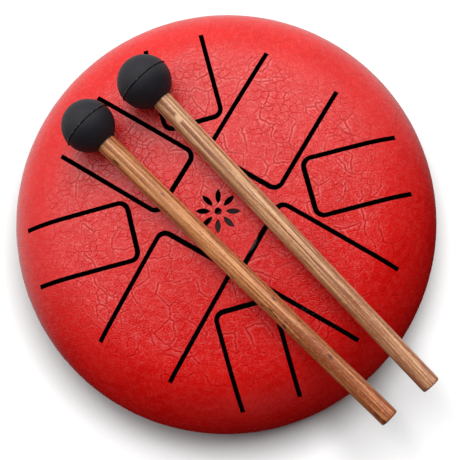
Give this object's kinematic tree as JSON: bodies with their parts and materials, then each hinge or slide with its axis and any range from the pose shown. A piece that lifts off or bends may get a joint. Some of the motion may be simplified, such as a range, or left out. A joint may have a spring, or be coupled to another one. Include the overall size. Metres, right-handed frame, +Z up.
{
  "type": "steel tongue drum",
  "caption": "Small round steel tongue drum with slot-cut tongues and a hollow shell on rubber feet, with a pair of rubber-headed mallets laid across it.",
  "frame": {"origin": "on the drum's axis, at the level of the surface that the feet stand on", "axes": "+Z up out of the playing surface; +X and +Y lie in the floor plane, with the mallets' free ends towards +X and -Y"},
  "size_m": [0.1502, 0.1502, 0.0876],
  "materials": {
    "red_enamel": "semi-gloss red crackle enamel over pressed steel",
    "foot_rubber": "matt black rubber",
    "plated_steel": "black zinc plated",
    "mallet_rubber": "matt charcoal rubber",
    "wood_brown": "oiled reddish-brown hardwood",
    "wood_tan": "oiled tan hardwood with dark streaks"
  },
  "bodies": {
    "drum": {"top_shell": "red_enamel", "bottom_shell": "red_enamel", "seam_weld": "red_enamel", "foot_1": "foot_rubber", "foot_2": "foot_rubber", "foot_3": "foot_rubber", "foot_4": "foot_rubber", "foot_washer_1": "plated_steel", "foot_screw_1": "plated_steel", "foot_nut_1": "plated_steel", "foot_washer_2": "plated_steel", "foot_screw_2": "plated_steel", "foot_nut_2": "plated_steel", "foot_washer_3": "plated_steel", "foot_screw_3": "plated_steel", "foot_nut_3": "plated_steel", "foot_washer_4": "plated_steel", "foot_screw_4": "plated_steel", "foot_nut_4": "plated_steel"},
    "mallet_1": {"mallet_1_stick": "wood_brown", "mallet_1_head": "mallet_rubber"},
    "mallet_2": {"mallet_2_stick": "wood_tan", "mallet_2_head": "mallet_rubber"}
  },
  "joints": [
    {"name": "lift_mallet_1", "type": "slide", "parent": "drum", "child": "mallet_1", "axis": [0, 0, 1], "range_m": [0, 0.06]},
    {"name": "lift_mallet_2", "type": "slide", "parent": "drum", "child": "mallet_2", "axis": [0, 0, 1], "range_m": [0, 0.06]}
  ]
}
